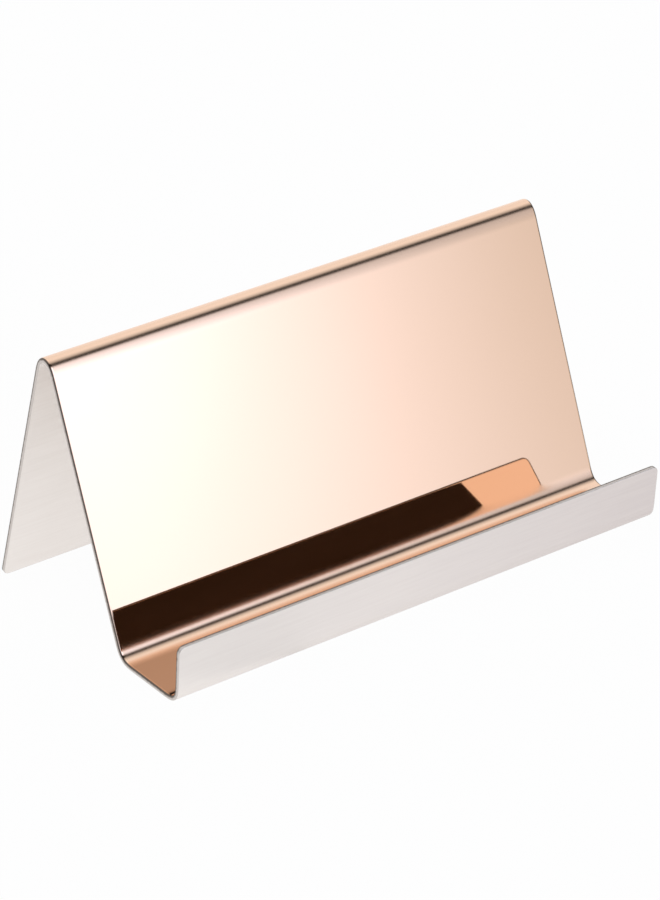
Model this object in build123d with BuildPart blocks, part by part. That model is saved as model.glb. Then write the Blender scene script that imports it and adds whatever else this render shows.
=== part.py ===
from build123d import *
import os
from math import cos, isclose, radians, sin, tan

# Business card stand: one stainless steel blank with rounded corners, bent three times on a press brake.
# X runs along the cards, the lip faces -Y and the floor is Z = 0. The origin is under the stand's middle.
# One face of the sheet is a rose gold mirror: it is the outside of the ridge, the front of the panel, the top
# of the tray and the inside of the lip. The reverse face is plain steel, and stands on the floor.

# Driving dimensions, in millimetres
sheet_thickness = 0.8
stand_length = 95.0
stand_height = 45.2
tray_depth = 14.2
lip_height = 10.6
blank_corner_radius = 1.2

# Inside radii of the bends, in millimetres
ridge_bend_radius = 1.6
heel_bend_radius = 2.8
toe_bend_radius = 2.0

# Angles from the vertical, in degrees: the panel leans back, the leg spreads back and the lip leans forward
panel_lean = 21.6
leg_lean = 16.8
lip_lean = 4.4

# The fold is drawn along the middle of the sheet's thickness, as sharp corners that the bends then round off.
half_sheet = sheet_thickness / 2
panel_angle = radians(panel_lean)
leg_angle = radians(leg_lean)
lip_angle = radians(lip_lean)

# The ridge bend's centre lies below its sharp corner, on the line that halves the angle of the fold.
ridge_half_angle = (panel_angle + leg_angle) / 2
ridge_tilt = (leg_angle - panel_angle) / 2
ridge_centre_z = stand_height - sheet_thickness - ridge_bend_radius
ridge_z = ridge_centre_z + (ridge_bend_radius + half_sheet) / sin(ridge_half_angle) * cos(ridge_tilt)

# The blank's ends are cut square, so the leg stands on its inner edge and the lip is highest at its inner edge.
foot_z = half_sheet * sin(leg_angle)
lip_z = lip_height - half_sheet * sin(lip_angle)

# The tray's depth is measured on the mirror face, and its corners lie further apart in the middle of the sheet.
heel_setback = half_sheet / tan(radians(90 + panel_lean) / 2)
toe_setback = half_sheet / tan(radians(90 + lip_lean) / 2)

# Places along Y, from the heel where the panel meets the tray
toe_y = -(heel_setback + tray_depth + toe_setback)
lip_y = toe_y - (lip_z - half_sheet) * tan(lip_angle)
ridge_y = (ridge_z - half_sheet) * tan(panel_angle)
foot_y = ridge_y + (ridge_z - foot_z) * tan(leg_angle)

# The middle of the stand, between the front of the lip and the back of the foot
front_y = lip_y - half_sheet * cos(lip_angle)
back_y = foot_y + half_sheet * cos(leg_angle)
middle_y = (front_y + back_y) / 2

foot = (foot_y - middle_y, foot_z)
ridge = (ridge_y - middle_y, ridge_z)
heel = (-middle_y, half_sheet)
toe = (toe_y - middle_y, half_sheet)
lip = (lip_y - middle_y, lip_z)

bend_radii = (
    ridge_bend_radius + half_sheet,
    heel_bend_radius + half_sheet,
    toe_bend_radius + half_sheet,
)

os.makedirs("parts", exist_ok=True)

# Folded sheet: back leg, ridge, front panel, card tray and front lip in one piece
with BuildPart() as folded_sheet:
    with BuildSketch(Plane.YZ):
        with BuildLine():
            FilletPolyline(foot, ridge, heel, toe, lip, radius=bend_radii)
        trace(line_width=sheet_thickness)
    extrude(amount=stand_length / 2, both=True)
    # The four corners of the blank, two on the lip and two on the foot
    blank_corners = folded_sheet.edges().filter_by(
        lambda edge: isclose(edge.length, sheet_thickness, abs_tol=1e-6)
    )
    fillet(blank_corners, blank_corner_radius)

folded_sheet.part.label = "folded_sheet"
export_step(folded_sheet.part, "parts/folded_sheet.step")
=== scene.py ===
from collections import namedtuple
from math import atan2, cos, pi, radians, sin, tan

import bmesh
import bpy
from mathutils import Matrix, Vector


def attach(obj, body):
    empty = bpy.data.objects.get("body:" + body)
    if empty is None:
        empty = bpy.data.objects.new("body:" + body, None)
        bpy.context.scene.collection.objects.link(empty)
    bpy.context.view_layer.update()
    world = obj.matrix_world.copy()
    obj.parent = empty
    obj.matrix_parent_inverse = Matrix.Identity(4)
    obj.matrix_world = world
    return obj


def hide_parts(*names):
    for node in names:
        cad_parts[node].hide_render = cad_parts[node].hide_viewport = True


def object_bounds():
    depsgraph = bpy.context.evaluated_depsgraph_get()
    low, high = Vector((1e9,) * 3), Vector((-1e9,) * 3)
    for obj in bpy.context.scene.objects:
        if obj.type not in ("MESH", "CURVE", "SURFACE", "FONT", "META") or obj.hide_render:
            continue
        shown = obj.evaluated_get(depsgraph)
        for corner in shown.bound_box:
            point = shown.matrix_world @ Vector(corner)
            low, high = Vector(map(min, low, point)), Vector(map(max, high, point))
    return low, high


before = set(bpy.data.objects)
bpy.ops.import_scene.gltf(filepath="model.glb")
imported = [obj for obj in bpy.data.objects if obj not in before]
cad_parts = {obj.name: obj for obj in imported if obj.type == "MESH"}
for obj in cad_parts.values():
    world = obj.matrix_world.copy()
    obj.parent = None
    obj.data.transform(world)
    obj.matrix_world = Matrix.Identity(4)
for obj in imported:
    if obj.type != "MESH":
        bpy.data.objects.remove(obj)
cad_low, cad_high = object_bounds()

# Business card stand folded from one steel sheet. Sizes are in millimetres, and MM turns them into metres.
MM = 0.001

# The sheet as the CAD model has it
SHEET_THICKNESS = 0.8
STAND_LENGTH = 95.0
STAND_HEIGHT = 45.2
TRAY_DEPTH = 14.2
LIP_HEIGHT = 10.6
BLANK_CORNER_RADIUS = 1.2
RIDGE_BEND_RADIUS = 1.6
HEEL_BEND_RADIUS = 2.8
TOE_BEND_RADIUS = 2.0
PANEL_LEAN = radians(21.6)
LEG_LEAN = radians(16.8)
LIP_LEAN = radians(4.4)

# Polishing rolled the mirror face's edges over, while the reverse face's edges stayed nearly sharp
RIM_WIDTH = 0.4
RIM_DEPTH = 0.2
REVERSE_EDGE_BREAK = 0.1

# A bend over an open die is tightest in its middle and fades into the flats: 0 is a plain arc, 1 fades fully
RIDGE_SOFTNESS = 0.8
HEEL_SOFTNESS = 0.8
TOE_SOFTNESS = 0.9

# How far each bend dulled the mirror: about alike at the ridge and the heel, and hardly in the toe
RIDGE_WEAR = 0.6
HEEL_WEAR = 0.65
TOE_WEAR = 0.1
# The share of a bend's length, at each of its ends, over which the wear sets in
WEAR_ONSET = 0.25

# How finely the mesh follows the sheet
BEND_STEP = radians(2.0)
BEND_PIECES = 10
FLAT_STEP = 2.4
CORNER_STEPS = 10
RIM_STEPS = 8
REVERSE_EDGE_STEPS = 3
COLUMNS = 40
# The least distance between the rows round the blank's corners and the next row
ROW_GAP = 0.2
# Developed lengths that differ by less than this are the same place
SAME_LENGTH = 1e-9

# The sheet's materials, in the order of its slots
MIRROR, REVERSE, CUT_EDGE = 0, 1, 2
ROSE_GOLD = "#F9D5BA"
PALER_ROSE_GOLD = "#FBD8BF"


def hex_colour(text):
    """Linear colour of an sRGB hex value."""
    channels = [int(text[i:i + 2], 16) / 255 for i in (1, 3, 5)]
    linear = [c / 12.92 if c <= 0.04045 else ((c + 0.055) / 1.055) ** 2.4 for c in channels]
    return (*linear, 1.0)


def empty_tree(owner):
    """Gives a material or the world an empty node tree."""
    owner.use_nodes = True
    owner.node_tree.nodes.clear()
    return owner.node_tree


def add_node(tree, kind, settings=None, inputs=None):
    """Adds a node, sets its properties, and fills its inputs with values or links to other nodes' outputs."""
    node = tree.nodes.new(kind)
    for name, value in (settings or {}).items():
        setattr(node, name, value)
    for name, value in (inputs or {}).items():
        if isinstance(value, bpy.types.NodeSocket):
            tree.links.new(value, node.inputs[name])
        else:
            node.inputs[name].default_value = value
    return node


def add_object(name, data):
    """Puts a mesh or a camera into the scene."""
    added = bpy.data.objects.new(name, data)
    bpy.context.scene.collection.objects.link(added)
    return added


def fold_corners():
    """Sharp corners of the fold along the middle of the sheet's thickness: foot, ridge, heel, toe and lip.

    Each is a (y, z) vector.
    """
    half = SHEET_THICKNESS / 2
    ridge_half_angle = (PANEL_LEAN + LEG_LEAN) / 2
    ridge_tilt = (LEG_LEAN - PANEL_LEAN) / 2
    ridge_centre_z = STAND_HEIGHT - SHEET_THICKNESS - RIDGE_BEND_RADIUS
    ridge_z = ridge_centre_z + (RIDGE_BEND_RADIUS + half) / sin(ridge_half_angle) * cos(ridge_tilt)
    foot_z = half * sin(LEG_LEAN)
    lip_z = LIP_HEIGHT - half * sin(LIP_LEAN)
    heel_setback = half / tan((pi / 2 + PANEL_LEAN) / 2)
    toe_setback = half / tan((pi / 2 + LIP_LEAN) / 2)
    toe_y = -(heel_setback + TRAY_DEPTH + toe_setback)
    lip_y = toe_y - (lip_z - half) * tan(LIP_LEAN)
    ridge_y = (ridge_z - half) * tan(PANEL_LEAN)
    foot_y = ridge_y + (ridge_z - foot_z) * tan(LEG_LEAN)
    front_y = lip_y - half * cos(LIP_LEAN)
    back_y = foot_y + half * cos(LEG_LEAN)
    middle_y = (front_y + back_y) / 2
    corners = ((foot_y, foot_z), (ridge_y, ridge_z), (0.0, half), (toe_y, half), (lip_y, lip_z))
    return [Vector((y - middle_y, z)) for y, z in corners]


def turned_share(share, softness):
    """Share of a bend's turn that is done at a share of its length."""
    return share - softness * sin(2 * pi * share) / (2 * pi)


def bend_path(turn, softness, pieces):
    """Places along a bend of unit length that starts at the origin and heads along x."""
    path = [Vector((0.0, 0.0))]
    for k in range(pieces):
        angle = turn * turned_share((k + 0.5) / pieces, softness)
        path.append(path[-1] + Vector((cos(angle), sin(angle))) / pieces)
    return path


# A flat or a bend of the fold: the developed length at which it starts, its own length, its first place and
# heading, and for a bend its turn, softness, wear and path
Run = namedtuple("Run", "first span start heading turn softness wear path")


class FoldLine:
    """The middle of the sheet from foot to lip, read by developed length."""

    def __init__(self):
        corners = fold_corners()
        half = SHEET_THICKNESS / 2
        bends = ((RIDGE_BEND_RADIUS + half, RIDGE_SOFTNESS, RIDGE_WEAR),
                 (HEEL_BEND_RADIUS + half, HEEL_SOFTNESS, HEEL_WEAR),
                 (TOE_BEND_RADIUS + half, TOE_SOFTNESS, TOE_WEAR))
        self.runs = []
        self.stations = [0.0]
        self.length = 0.0
        start = corners[0]
        for i, (radius, softness, wear) in enumerate(bends, 1):
            corner = corners[i]
            heading = (corner - corners[i - 1]).normalized()
            onward = (corners[i + 1] - corner).normalized()
            turn = atan2(heading.x * onward.y - heading.y * onward.x, heading.dot(onward))
            steps = round(abs(turn) / BEND_STEP / 2) * 2
            path = bend_path(turn, softness, steps * BEND_PIECES)
            # The bend is as long as it takes for its middle to lie where a plain arc of that radius has it.
            setback = path[-1].length / 2 / cos(turn / 2)
            middle = (path[len(path) // 2] - Vector((setback, 0.0))).length
            arc = radius * (1 / cos(turn / 2) - 1) / middle
            end = corner - heading * setback * arc
            self.add_flat(start, end, heading)
            self.add_run(steps, Run(self.length, arc, end, heading, turn, softness, wear, path))
            start = corner + onward * setback * arc
        self.add_flat(start, corners[-1], onward)

    def add_flat(self, start, end, heading):
        """Adds a flat from one place to the next."""
        flat = (end - start).length
        steps = max(2, round(flat / FLAT_STEP))
        self.add_run(steps, Run(self.length, flat, start, heading, 0.0, 0.0, 0.0, None))

    def add_run(self, steps, run):
        """Adds a run, and a station for each row of the mesh on it."""
        self.runs.append(run)
        self.stations += [run.first + run.span * k / steps for k in range(1, steps + 1)]
        self.length += run.span

    def run_at(self, along):
        """The flat or bend at a developed length."""
        return [run for run in self.runs if run.first <= along + SAME_LENGTH][-1]

    def wear(self, along):
        """How far bending dulled the mirror at a developed length: 0 on the flats, rising into each bend."""
        run = self.run_at(along)
        from_its_end = min(along - run.first, run.first + run.span - along)
        return run.wear * min(1.0, from_its_end / (WEAR_ONSET * run.span))

    def at(self, along):
        """Place and mirror-side normal at a developed length, as (y, z) vectors."""
        run = self.run_at(along)
        travelled = along - run.first
        heading = run.heading
        if run.path is None:
            return run.start + heading * travelled, Vector((heading.y, -heading.x))
        spot = run.path[round(travelled / run.span * (len(run.path) - 1))] * run.span
        left = Vector((-heading.y, heading.x))
        ahead = Matrix.Rotation(run.turn * turned_share(travelled / run.span, run.softness), 2) @ heading
        return run.start + heading * spot.x + left * spot.y, Vector((ahead.y, -ahead.x))


def build_sheet(line):
    """Mesh of the folded sheet: a grid on the mirror face, one on the reverse, and cut edges between them."""
    half_length = STAND_LENGTH / 2
    half = SHEET_THICKNESS / 2
    corner = BLANK_CORNER_RADIUS
    margin = corner + ROW_GAP
    flat_rows = [s for s in line.stations if margin < s < line.length - margin]
    corner_angles = [pi / 2 * k / CORNER_STEPS for k in range(CORNER_STEPS + 1)]
    # The columns' places from the left end to the right end, as shares of a row's half width
    columns = [2 * j / COLUMNS - 1 for j in range(COLUMNS + 1)]

    def rows(inset):
        """Each row of the blank as (developed length, half width, outward direction at its right end)."""
        radius = corner - inset
        foot_end = [(corner - radius * cos(a), half_length - corner + radius * sin(a), (-cos(a), sin(a)))
                    for a in corner_angles]
        lip_end = [(line.length - s, w, (-out[0], out[1])) for s, w, out in reversed(foot_end)]
        return foot_end + [(s, half_length - inset, (0.0, 1.0)) for s in flat_rows] + lip_end

    def place(along, across, depth, out, lift):
        """Vertex and normal at a place on the blank: depth is from the middle towards the mirror face."""
        point, normal = line.at(min(max(along, 0.0), line.length))
        spot = Vector((across, *(point + normal * depth))) * MM
        ahead = Vector((0.0, -normal.y, normal.x))
        outward = ahead * out[0] + Vector((1.0, 0.0, 0.0)) * out[1]
        facing = outward * cos(lift) + Vector((0.0, *normal)) * sin(lift)
        return spot, facing

    # Each ring of the cut edge is an inset from the outline, a depth, and the angle of its normal's lift.
    rings = []
    for k in range(RIM_STEPS + 1):
        a = pi / 2 * (1 - k / RIM_STEPS)
        lift = atan2(RIM_WIDTH * sin(a), RIM_DEPTH * cos(a))
        rings.append((RIM_WIDTH * (1 - cos(a)), half - RIM_DEPTH * (1 - sin(a)), lift))
    for k in range(REVERSE_EDGE_STEPS + 1):
        a = -pi / 2 * k / REVERSE_EDGE_STEPS
        rings.append((REVERSE_EDGE_BREAK * (1 - cos(a)), -half + REVERSE_EDGE_BREAK * (1 + sin(a)), a))

    sheet = bmesh.new()
    blank_map = sheet.loops.layers.uv.new("blank")
    cut_depth = sheet.verts.layers.float.new("cut_depth")
    bend_wear = sheet.verts.layers.float.new("bend_wear")
    normals = []
    place_on_blank = {}

    def vertex(along, across, depth, out, lift):
        """Adds a vertex with its depth in the cut and its wear, and notes its place and its normal."""
        spot, facing = place(along, across, depth, out, lift)
        v = sheet.verts.new(spot)
        v[cut_depth] = (half - depth) / SHEET_THICKNESS
        v[bend_wear] = line.wear(along)
        place_on_blank[v] = (along * MM, across * MM)
        normals.append(facing)
        return v

    def face(corners_of_face, finish):
        """Adds a face with its finish, laid out flat in the blank's map."""
        f = sheet.faces.new(corners_of_face)
        f.smooth = True
        f.material_index = finish
        for loop in f.loops:
            loop[blank_map].uv = place_on_blank[loop.vert]

    def grid(inset, depth, lift):
        """The rows and columns of one broad face."""
        return [[vertex(s, w * c, depth, (0.0, 1.0), lift) for c in columns] for s, w, _ in rows(inset)]

    def outline(table):
        """The rim of a grid, once round."""
        last = len(table) - 1
        right = [table[i][COLUMNS] for i in range(1, last)]
        left = [table[i][0] for i in range(last - 1, 0, -1)]
        return table[0] + right + table[last][::-1] + left

    def edge_ring(inset, depth, lift):
        """The same rim, part of the way down the cut edge."""
        first, *between, last = rows(inset)
        foot = [vertex(first[0], first[1] * c, depth, (-1.0, 0.0), lift) for c in columns]
        right = [vertex(s, w, depth, out, lift) for s, w, out in between]
        lip = [vertex(last[0], last[1] * c, depth, (1.0, 0.0), lift) for c in reversed(columns)]
        left = [vertex(s, -w, depth, (out[0], -out[1]), lift) for s, w, out in reversed(between)]
        return foot + right + lip + left

    mirror = grid(*rings[0])
    loops = [outline(mirror)] + [edge_ring(*ring) for ring in rings[1:-1]]
    reverse = grid(*rings[-1])
    loops.append(outline(reverse))

    for i in range(len(mirror) - 1):
        for j in range(COLUMNS):
            face((mirror[i][j], mirror[i + 1][j], mirror[i + 1][j + 1], mirror[i][j + 1]), MIRROR)
            face((reverse[i][j], reverse[i][j + 1], reverse[i + 1][j + 1], reverse[i + 1][j]), REVERSE)
    for upper, lower in zip(loops, loops[1:]):
        for i in range(len(upper)):
            n = (i + 1) % len(upper)
            face((upper[i], upper[n], lower[n], lower[i]), CUT_EDGE)

    mesh = bpy.data.meshes.new("card_stand_sheet")
    sheet.to_mesh(mesh)
    sheet.free()
    mesh.normals_split_custom_set_from_vertices(normals)
    return mesh


def mirror_rose_gold():
    """Stainless steel sheet, polished to a mirror and vacuum coated in rose gold."""
    # Sharp coloured reflections, with a trace of wiping haze and of the rolled sheet's slow waviness
    material = bpy.data.materials.new("mirror_polished_rose_gold_steel")
    tree = empty_tree(material)
    blank = add_node(tree, "ShaderNodeUVMap", {"uv_map": "blank"})
    # The coating's thickness drifts over about 40 mm, and the colour with it.
    drift_size = 40 * MM
    drift = add_node(tree, "ShaderNodeTexNoise", {"noise_dimensions": "2D"},
                     {"Vector": blank.outputs["UV"], "Scale": 1 / drift_size, "Detail": 1.0,
                      "Roughness": 0.4})
    tint = add_node(tree, "ShaderNodeMix", {"data_type": "RGBA"},
                    {"Factor": drift.outputs["Fac"], "A": hex_colour(ROSE_GOLD),
                     "B": hex_colour(PALER_ROSE_GOLD)})
    # Wiping leaves streaks about 3 mm wide and 25 mm long, a little rougher than the clean polish.
    streak_width, streak_length = 3 * MM, 25 * MM
    clean_roughness, streak_roughness = 0.02, 0.045
    streak_size = add_node(tree, "ShaderNodeVectorMath", {"operation": "MULTIPLY"},
                           {0: blank.outputs["UV"], 1: (1 / streak_width, 1 / streak_length, 1.0)})
    streaks = add_node(tree, "ShaderNodeTexNoise", {"noise_dimensions": "2D"},
                       {"Vector": streak_size.outputs["Vector"], "Scale": 1.0, "Detail": 3.0,
                        "Roughness": 0.5})
    haze = add_node(tree, "ShaderNodeMapRange", None,
                    {"Value": streaks.outputs["Fac"], "From Min": 0.35, "From Max": 0.75,
                     "To Min": clean_roughness, "To Max": streak_roughness})
    # Bending stretches the coating, so the polish is duller along the folds.
    full_wear_roughness = 0.3
    folded = add_node(tree, "ShaderNodeAttribute",
                      {"attribute_type": "GEOMETRY", "attribute_name": "bend_wear"})
    polish = add_node(tree, "ShaderNodeMath", {"operation": "MULTIPLY_ADD"},
                      {0: folded.outputs["Fac"], 1: full_wear_roughness, 2: haze.outputs["Result"]})
    # Rolled sheet waves by a few thousandths of a millimetre over about 30 mm.
    wave_size, wave_height = 30 * MM, 0.006 * MM
    wave = add_node(tree, "ShaderNodeTexNoise", {"noise_dimensions": "2D"},
                    {"Vector": blank.outputs["UV"], "Scale": 1 / wave_size, "Detail": 0.0})
    waviness = add_node(tree, "ShaderNodeBump", None,
                        {"Height": wave.outputs["Fac"], "Strength": 1.0, "Distance": wave_height})
    steel = add_node(tree, "ShaderNodeBsdfPrincipled", None,
                     {"Base Color": tint.outputs["Result"], "Metallic": 1.0,
                      "Roughness": polish.outputs["Value"], "Normal": waviness.outputs["Normal"]})
    add_node(tree, "ShaderNodeOutputMaterial", None, {"Surface": steel.outputs["BSDF"]})
    return material


def satin_steel():
    """Stainless steel sheet as it leaves the rolling mill: the plain reverse of the blank."""
    # A soft pale sheen without clear reflections, with a faint grain along the stand
    material = bpy.data.materials.new("satin_rolled_stainless_steel")
    tree = empty_tree(material)
    blank = add_node(tree, "ShaderNodeUVMap", {"uv_map": "blank"})
    # Real rolling grain is about 0.05 mm wide, too fine to show, so it is drawn 0.5 mm wide and 12 mm long.
    grain_width, grain_length, grain_depth = 0.5 * MM, 12 * MM, 0.004 * MM
    smooth_roughness, grain_roughness = 0.46, 0.54
    grain_size = add_node(tree, "ShaderNodeVectorMath", {"operation": "MULTIPLY"},
                          {0: blank.outputs["UV"], 1: (1 / grain_width, 1 / grain_length, 1.0)})
    grain = add_node(tree, "ShaderNodeTexNoise", {"noise_dimensions": "2D"},
                     {"Vector": grain_size.outputs["Vector"], "Scale": 1.0, "Detail": 2.0, "Roughness": 0.6})
    # Painted shade: the steel is painted lighter at one end of the stand and slowly darker towards the other,
    # standing in for the soft light falling off along the stand, and the grain adds a little to that.
    painted_shade_share, grain_share = 0.85, 0.12
    half_length = STAND_LENGTH / 2 * MM
    axes = add_node(tree, "ShaderNodeSeparateXYZ", None, {"Vector": blank.outputs["UV"]})
    drift = add_node(tree, "ShaderNodeMapRange", None,
                     {"Value": axes.outputs["Y"], "From Min": -half_length, "From Max": half_length,
                      "To Min": 0.0, "To Max": painted_shade_share})
    grain_and_painted_shade = add_node(tree, "ShaderNodeMath", {"operation": "MULTIPLY_ADD"},
                      {0: grain.outputs["Fac"], 1: grain_share, 2: drift.outputs["Result"]})
    # The tint carries the grain and the painted shade along the stand.
    tint = add_node(tree, "ShaderNodeMix", {"data_type": "RGBA"},
                    {"Factor": grain_and_painted_shade.outputs["Value"], "A": hex_colour("#F8F2ED"),
                     "B": hex_colour("#DED5D2")})
    sheen = add_node(tree, "ShaderNodeMapRange", None,
                     {"Value": grain.outputs["Fac"], "From Min": 0.3, "From Max": 0.7,
                      "To Min": smooth_roughness, "To Max": grain_roughness})
    scratches = add_node(tree, "ShaderNodeBump", None,
                         {"Height": grain.outputs["Fac"], "Strength": 0.4, "Distance": grain_depth})
    steel = add_node(tree, "ShaderNodeBsdfPrincipled", None,
                     {"Base Color": tint.outputs["Result"], "Metallic": 1.0,
                      "Roughness": sheen.outputs["Result"], "Normal": scratches.outputs["Normal"]})
    add_node(tree, "ShaderNodeOutputMaterial", None, {"Surface": steel.outputs["BSDF"]})
    return material


def laser_cut_edge(lip_end):
    """Stainless steel where the laser cut the blank out, with the coating rolled a little over its rim."""
    # A thin dark line of painted shade beside the mirror face, standing in for the dark that the edge
    # reflects and the shade on it, which fades to pale bare steel towards the reverse
    material = bpy.data.materials.new("laser_cut_stainless_steel_edge")
    tree = empty_tree(material)
    blank = add_node(tree, "ShaderNodeUVMap", {"uv_map": "blank"})
    # Depths are shares of the sheet's thickness, 0 at the mirror face and 1 at the reverse.
    depth = add_node(tree, "ShaderNodeAttribute",
                     {"attribute_type": "GEOMETRY", "attribute_name": "cut_depth"})
    # The laser's pulses leave marks across the edge about 0.1 mm apart, drawn 0.6 mm apart so that they show.
    mark_spacing, mark_depth = 0.6 * MM, 0.3
    marks = add_node(tree, "ShaderNodeTexNoise", {"noise_dimensions": "2D"},
                     {"Vector": blank.outputs["UV"], "Scale": 1 / mark_spacing, "Detail": 2.0,
                      "Roughness": 0.6})
    uneven = add_node(tree, "ShaderNodeMath", {"operation": "MULTIPLY_ADD"},
                      {0: marks.outputs["Fac"], 1: mark_depth, 2: depth.outputs["Fac"]})
    # Painted shade: the dark line is full down to this share of the depth, with the marks' unevenness, and
    # gone by the next.
    painted_shade_full, painted_shade_gone = 0.36, 0.82
    painted_shade_fade = add_node(tree, "ShaderNodeMapRange", {"interpolation_type": "SMOOTHSTEP"},
                      {"Value": uneven.outputs["Value"], "From Min": painted_shade_full, "From Max": painted_shade_gone})
    painted_shade_to_bare_steel = add_node(tree, "ShaderNodeMix", {"data_type": "RGBA"},
                    {"Factor": painted_shade_fade.outputs["Result"], "A": hex_colour("#6A6058"),
                     "B": hex_colour("#DAD3CE")})
    # The coating ends on the rim, and sooner along the lip's top edge, whose reflection shows no coated rim,
    # so that the painted shade line shows there.
    coating_full, coating_gone, sooner_at_lip = 0.02, 0.06, 0.03
    axes = add_node(tree, "ShaderNodeSeparateXYZ", None, {"Vector": blank.outputs["UV"]})
    at_lip = add_node(tree, "ShaderNodeMapRange", None,
                      {"Value": axes.outputs["X"], "From Min": (lip_end - BLANK_CORNER_RADIUS) * MM,
                       "From Max": (lip_end - RIM_WIDTH) * MM, "To Min": 0.0, "To Max": sooner_at_lip})
    bared = add_node(tree, "ShaderNodeMath", {"operation": "ADD"},
                     {0: depth.outputs["Fac"], 1: at_lip.outputs["Result"]})
    uncoated = add_node(tree, "ShaderNodeMapRange", {"interpolation_type": "SMOOTHSTEP"},
                        {"Value": bared.outputs["Value"], "From Min": coating_full,
                         "From Max": coating_gone})
    tint = add_node(tree, "ShaderNodeMix", {"data_type": "RGBA"},
                    {"Factor": uncoated.outputs["Result"], "A": hex_colour(ROSE_GOLD),
                     "B": painted_shade_to_bare_steel.outputs["Result"]})
    # The rim is still polished at first, and the cut below it is matt.
    polished_until, matt_from = 0.05, RIM_DEPTH / SHEET_THICKNESS
    rim_roughness, cut_roughness = 0.12, 0.5
    polish = add_node(tree, "ShaderNodeMapRange", None,
                      {"Value": depth.outputs["Fac"], "From Min": polished_until, "From Max": matt_from,
                       "To Min": rim_roughness, "To Max": cut_roughness})
    steel = add_node(tree, "ShaderNodeBsdfPrincipled", None,
                     {"Base Color": tint.outputs["Result"], "Metallic": 1.0,
                      "Roughness": polish.outputs["Result"]})
    add_node(tree, "ShaderNodeOutputMaterial", None, {"Surface": steel.outputs["BSDF"]})
    return material


def studio():
    """White studio: a wide soft light in front of the stand, a dark gap over it, dark sides, a pale back."""
    world = bpy.data.worlds.new("white_studio")
    bpy.context.scene.world = world
    tree = empty_tree(world)
    towards = add_node(tree, "ShaderNodeTexCoord")
    axes = add_node(tree, "ShaderNodeSeparateXYZ", None, {"Vector": towards.outputs["Generated"]})
    forward = add_node(tree, "ShaderNodeMath", {"operation": "MULTIPLY"}, {0: axes.outputs["Y"], 1: -1.0})
    # The angle over the stand's long axis: 0 in front, 90 degrees overhead, 180 degrees behind
    over = add_node(tree, "ShaderNodeMath", {"operation": "ARCTAN2"},
                    {0: axes.outputs["Z"], 1: forward.outputs["Value"]})
    share = add_node(tree, "ShaderNodeMath", {"operation": "DIVIDE"}, {0: over.outputs["Value"], 1: pi})
    # The walls' level at angles in degrees over the stand, with the dark gap from 54 to 72 degrees
    wall_levels = ((0, 0.75), (12, 0.755), (20, 0.62), (36, 0.5), (48, 0.48), (51, 0.4), (54, 0.2),
                   (57, 0.028), (68, 0.012), (72, 0.12), (77, 0.41), (84, 0.6), (90, 0.76), (98, 0.93),
                   (106, 0.99), (114, 0.99), (128, 0.93), (150, 0.95), (180, 1.0))
    tent = add_node(tree, "ShaderNodeValToRGB", None, {"Fac": share.outputs["Value"]})
    elements = tent.color_ramp.elements
    while len(elements) < len(wall_levels):
        elements.new(0.5)
    for element, (angle, level) in zip(elements, wall_levels):
        element.position = angle / 180
        element.color = (level, level, level, 1.0)
    # Plain dark flags far out on both sides. Sideways is 0 straight ahead and 1 along the stand's long axis.
    flag_level, flag_start, flag_full = 0.12, 0.64, 0.9
    sideways = add_node(tree, "ShaderNodeMath", {"operation": "ABSOLUTE"}, {0: axes.outputs["X"]})
    flags = add_node(tree, "ShaderNodeMapRange", {"interpolation_type": "SMOOTHSTEP"},
                     {"Value": sideways.outputs["Value"], "From Min": flag_start, "From Max": flag_full})
    walls = add_node(tree, "ShaderNodeMix", {"data_type": "FLOAT"},
                     {"Factor": flags.outputs["Result"], "A": tent.outputs["Color"], "B": flag_level})
    # The soft light in front is a long bank, a little cooler than the walls, that fades at its ends, its foot
    # and its top. It is narrower at its top, so its ends lean inwards.
    bank_level = 1.56
    bank_colour = hex_colour("#CEDEFF")
    end_fade_start, end_fade_end, inward_lean = 0.478, 0.613, 0.075
    foot_start, foot_full = radians(-4), radians(16)
    top_fade_start, top_fade_end = radians(44), radians(55)
    leaning = add_node(tree, "ShaderNodeMath", {"operation": "MULTIPLY_ADD"},
                       {0: over.outputs["Value"], 1: inward_lean, 2: sideways.outputs["Value"]})
    ends = add_node(tree, "ShaderNodeMapRange", {"interpolation_type": "SMOOTHSTEP"},
                    {"Value": leaning.outputs["Value"], "From Min": end_fade_start,
                     "From Max": end_fade_end, "To Min": 1.0, "To Max": 0.0})
    foot = add_node(tree, "ShaderNodeMapRange", {"interpolation_type": "SMOOTHSTEP"},
                    {"Value": over.outputs["Value"], "From Min": foot_start, "From Max": foot_full,
                     "To Min": 0.0, "To Max": bank_level})
    top = add_node(tree, "ShaderNodeMapRange", {"interpolation_type": "SMOOTHSTEP"},
                   {"Value": over.outputs["Value"], "From Min": top_fade_start, "From Max": top_fade_end,
                    "To Min": 1.0, "To Max": 0.0})
    lit = add_node(tree, "ShaderNodeMath", {"operation": "MULTIPLY"},
                   {0: ends.outputs["Result"], 1: foot.outputs["Result"]})
    bank = add_node(tree, "ShaderNodeMath", {"operation": "MULTIPLY"},
                    {0: lit.outputs["Value"], 1: top.outputs["Result"]})
    glow = add_node(tree, "ShaderNodeVectorMath", {"operation": "MULTIPLY_ADD"},
                    {0: bank.outputs["Value"], 1: bank_colour[:3], 2: walls.outputs["Result"]})
    # The camera sees plain white behind the stand. The metal sees the studio with its light and its flags,
    # because those reflections give the mirror its look.
    path = add_node(tree, "ShaderNodeLightPath")
    seen = add_node(tree, "ShaderNodeMix", {"data_type": "RGBA"},
                    {"Factor": path.outputs["Is Camera Ray"], "A": glow.outputs["Vector"],
                     "B": (1.0, 1.0, 1.0, 1.0)})
    light = add_node(tree, "ShaderNodeBackground", None, {"Color": seen.outputs["Result"], "Strength": 1.0})
    add_node(tree, "ShaderNodeOutputWorld", None, {"Surface": light.outputs["Background"]})


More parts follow.
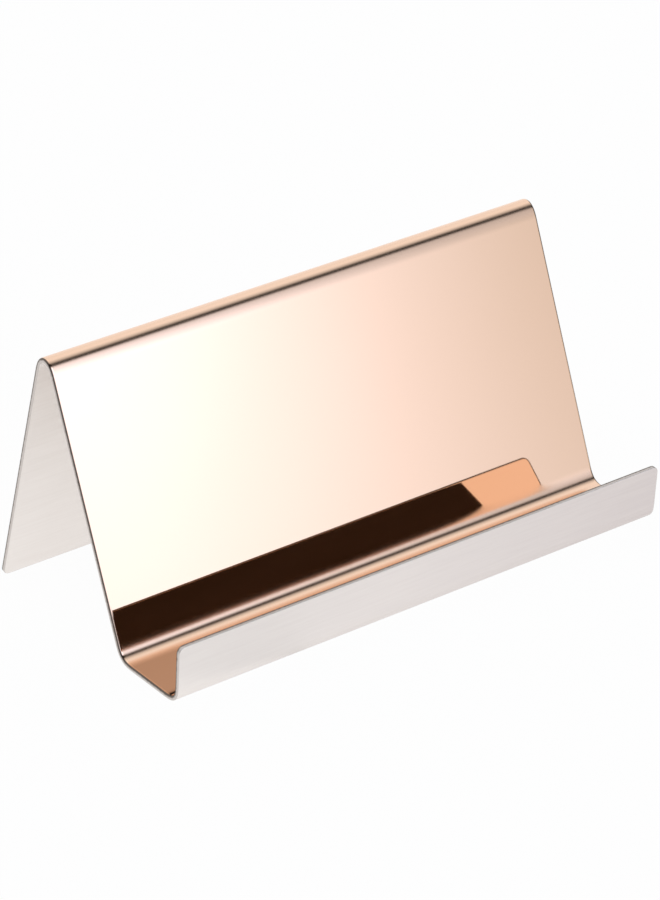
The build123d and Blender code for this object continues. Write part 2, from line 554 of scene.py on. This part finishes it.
def white_floor():
    """White painted floor that is white to the camera and in the metal, and keeps the stand's soft shadow."""
    half_width = 2000 * MM
    # The floor lies a hair below the tray's underside, so that the two never share a place.
    gap_under_stand = 0.02 * MM
    mesh = bpy.data.meshes.new("studio_floor")
    build = bmesh.new()
    bmesh.ops.create_grid(build, x_segments=1, y_segments=1, size=half_width)
    build.to_mesh(mesh)
    build.free()
    floor = add_object("studio_floor", mesh)
    floor.location = (0.0, 0.0, cad_low.z - gap_under_stand)
    material = bpy.data.materials.new("white_painted_floor")
    tree = empty_tree(material)
    paint = add_node(tree, "ShaderNodeBsdfDiffuse", None, {"Color": hex_colour("#FAFAFA")})
    white = add_node(tree, "ShaderNodeEmission", None, {"Color": (1.0, 1.0, 1.0, 1.0), "Strength": 1.0})
    # Plain white makes up this share of the floor's look, and the paint, which takes the shadow, the rest.
    white_share = 0.97
    path = add_node(tree, "ShaderNodeLightPath")
    seen = add_node(tree, "ShaderNodeMath", {"operation": "MAXIMUM"},
                    {0: path.outputs["Is Camera Ray"], 1: path.outputs["Is Glossy Ray"]})
    seen_through = add_node(tree, "ShaderNodeMath", {"operation": "MAXIMUM"},
                            {0: seen.outputs["Value"], 1: path.outputs["Is Transmission Ray"]})
    share = add_node(tree, "ShaderNodeMath", {"operation": "MULTIPLY"},
                     {0: seen_through.outputs["Value"], 1: white_share})
    surface = add_node(tree, "ShaderNodeMixShader", None,
                       {0: share.outputs["Value"], 1: paint.outputs["BSDF"], 2: white.outputs["Emission"]})
    add_node(tree, "ShaderNodeOutputMaterial", None, {"Surface": surface.outputs["Shader"]})
    mesh.materials.append(material)


def photo_camera():
    """Camera at the photograph's viewing angle, for an image of 660 by 900."""
    azimuth = radians(-36.756)
    elevation = radians(28.834)
    # The lens, in pixels of the photograph, on a sensor whose height is in millimetres
    focal_pixels = 4091.17
    image_height = 900
    sensor_height = 24.0
    # How far the camera stands back from the floor under the stand's middle, and how far to the right and up
    # its axis passes that place
    distance = 663.29
    aim_right = -0.311
    aim_up = 15.802
    right = Vector((cos(azimuth), sin(azimuth), 0.0))
    up = Vector((-sin(azimuth) * sin(elevation), cos(azimuth) * sin(elevation), cos(elevation)))
    back = right.cross(up)
    place = (back * distance + right * aim_right + up * aim_up) * MM
    data = bpy.data.cameras.new("photo_camera")
    data.sensor_fit = "VERTICAL"
    data.sensor_height = sensor_height
    data.lens = sensor_height * focal_pixels / image_height
    data.clip_start = 10 * MM
    camera = add_object("photo_camera", data)
    camera.matrix_world = Matrix.Translation(place) @ Matrix((right, up, back)).transposed().to_4x4()
    bpy.context.scene.camera = camera


photo_camera()
studio()
white_floor()

fold_line = FoldLine()
sheet_mesh = build_sheet(fold_line)
for finish in (mirror_rose_gold(), satin_steel(), laser_cut_edge(fold_line.length)):
    sheet_mesh.materials.append(finish)
card_stand_sheet = add_object("card_stand_sheet", sheet_mesh)
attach(card_stand_sheet, "root")
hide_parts("folded_sheet")

bpy.context.scene.view_settings.view_transform = "Standard"
